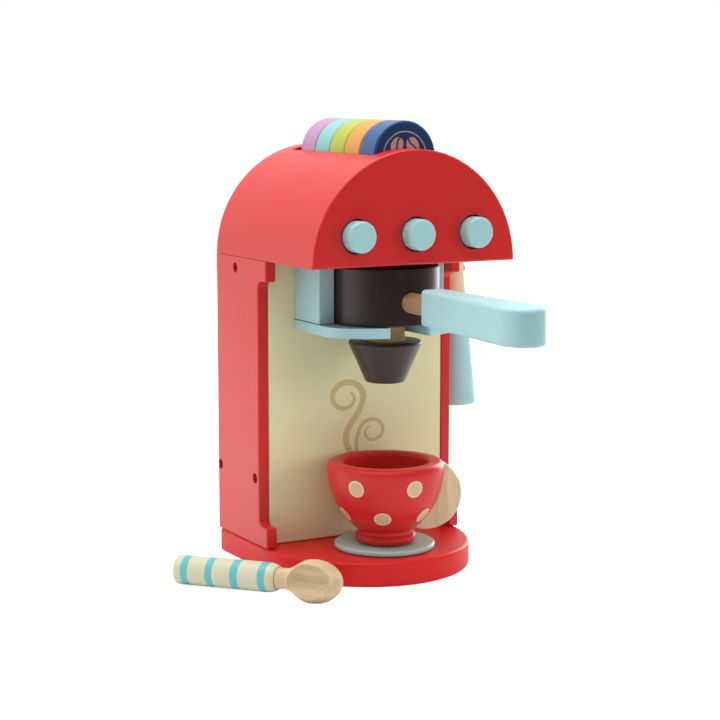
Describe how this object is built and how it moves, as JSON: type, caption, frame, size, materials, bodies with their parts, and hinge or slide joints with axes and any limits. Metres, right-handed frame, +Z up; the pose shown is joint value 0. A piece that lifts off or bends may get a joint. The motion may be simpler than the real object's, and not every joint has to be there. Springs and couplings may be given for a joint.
{
  "type": "toy coffee maker",
  "caption": "Wooden play coffee machine with domed hood, push buttons, sliding portafilter, swinging steam wand, lift-out pods, cup and spoon.",
  "frame": {"origin": "underside of the base board, straight below the spout", "axes": "+Z up, -Y towards the child who stands in front, +X to the right as seen from the front"},
  "size_m": [0.2447, 0.2808, 0.2926],
  "materials": {
    "red_wood": "satin paint",
    "cream_wood": "satin paint",
    "sky_wood": "satin paint",
    "slate_wood": "satin paint",
    "cocoa_wood": "matt paint",
    "bare_beech": "smooth, unpainted",
    "blue_wood": "satin paint",
    "orange_wood": "satin paint",
    "lime_wood": "satin paint",
    "aqua_wood": "satin paint",
    "lilac_wood": "satin paint",
    "steel": "zinc plated"
  },
  "bodies": {
    "machine": {"base_board": "red_wood", "side_panel_left": "red_wood", "side_panel_right": "red_wood", "front_wall": "cream_wood", "back_panel": "red_wood", "top_rail": "bare_beech", "bottom_rail": "bare_beech", "hood_front_board": "red_wood", "hood_back_board": "red_wood", "hood_side_left": "red_wood", "hood_side_right": "red_wood", "hood_floor": "red_wood", "pod_trough": "bare_beech", "button_rail": "bare_beech", "group_block": "sky_wood", "fork_plate": "sky_wood", "hotplate": "slate_wood", "wand_pin": "bare_beech", "wand_cap": "bare_beech", "button_spring_left": "steel", "button_spring_middle": "steel", "button_spring_right": "steel", "screw_top_left": "steel", "screw_top_right": "steel", "screw_back_left": "steel", "screw_back_right": "steel", "screw_front_left": "steel", "screw_front_right": "steel", "screw_base_left": "steel", "screw_base_right": "steel", "screw_hood_left": "steel", "screw_hood_right": "steel", "screw_block_left": "steel", "screw_block_right": "steel"},
    "left_button": {"button_left": "sky_wood"},
    "middle_button": {"button_middle": "sky_wood"},
    "right_button": {"button_right": "sky_wood"},
    "portafilter_slide": {"neck_dowel": "bare_beech"},
    "portafilter": {"filter_cylinder": "cocoa_wood", "spout_cone": "cocoa_wood", "handle_dowel": "bare_beech", "portafilter_handle": "sky_wood"},
    "wand": {"steam_wand": "bare_beech"},
    "cup": {"cup_bowl": "red_wood", "cup_ear": "bare_beech"},
    "spoon": {"spoon_grip": "cream_wood", "spoon_bowl": "bare_beech"},
    "blue_pod": {"pod_blue": "blue_wood"},
    "orange_pod": {"pod_orange": "orange_wood"},
    "lime_pod": {"pod_lime": "lime_wood"},
    "aqua_pod": {"pod_aqua": "aqua_wood"},
    "lilac_pod": {"pod_lilac": "lilac_wood"}
  },
  "joints": [
    {"name": "left_button_press", "type": "slide", "parent": "machine", "child": "left_button", "axis": [0, 1, 0], "range_m": [0, 0.004], "stiffness_N_per_m": 150, "springref_m": -0.002, "deforming": ["button_spring_left"]},
    {"name": "middle_button_press", "type": "slide", "parent": "machine", "child": "middle_button", "axis": [0, 1, 0], "range_m": [0, 0.004], "stiffness_N_per_m": 150, "springref_m": -0.002, "deforming": ["button_spring_middle"]},
    {"name": "right_button_press", "type": "slide", "parent": "machine", "child": "right_button", "axis": [0, 1, 0], "range_m": [0, 0.004], "stiffness_N_per_m": 150, "springref_m": -0.002, "deforming": ["button_spring_right"]},
    {"name": "portafilter_pull", "type": "slide", "parent": "machine", "child": "portafilter_slide", "axis": [0, -1, 0], "range_m": [0, 0.09]},
    {"name": "portafilter_twist", "type": "hinge", "parent": "portafilter_slide", "child": "portafilter", "pos_m": [0, 0, 0.18], "axis": [0, 0, 1], "range_deg": [-45, 45]},
    {"name": "wand_swing", "type": "hinge", "parent": "machine", "child": "wand", "pos_m": [0.0902, 0.0622, 0.189], "axis": [1, 0, 0], "range_deg": [-75, 75]},
    {"name": "cup_lift", "type": "slide", "parent": "machine", "child": "cup", "axis": [0, 0, 1], "range_m": [0, 0.045]},
    {"name": "spoon_lift", "type": "slide", "parent": "machine", "child": "spoon", "axis": [0, 0, 1], "range_m": [0, 0.06]},
    {"name": "blue_pod_lift", "type": "slide", "parent": "machine", "child": "blue_pod", "axis": [0, 0, 1], "range_m": [0, 0.045]},
    {"name": "orange_pod_lift", "type": "slide", "parent": "machine", "child": "orange_pod", "axis": [0, 0, 1], "range_m": [0, 0.045]},
    {"name": "lime_pod_lift", "type": "slide", "parent": "machine", "child": "lime_pod", "axis": [0, 0, 1], "range_m": [0, 0.045]},
    {"name": "aqua_pod_lift", "type": "slide", "parent": "machine", "child": "aqua_pod", "axis": [0, 0, 1], "range_m": [0, 0.045]},
    {"name": "lilac_pod_lift", "type": "slide", "parent": "machine", "child": "lilac_pod", "axis": [0, 0, 1], "range_m": [0, 0.045]}
  ]
}
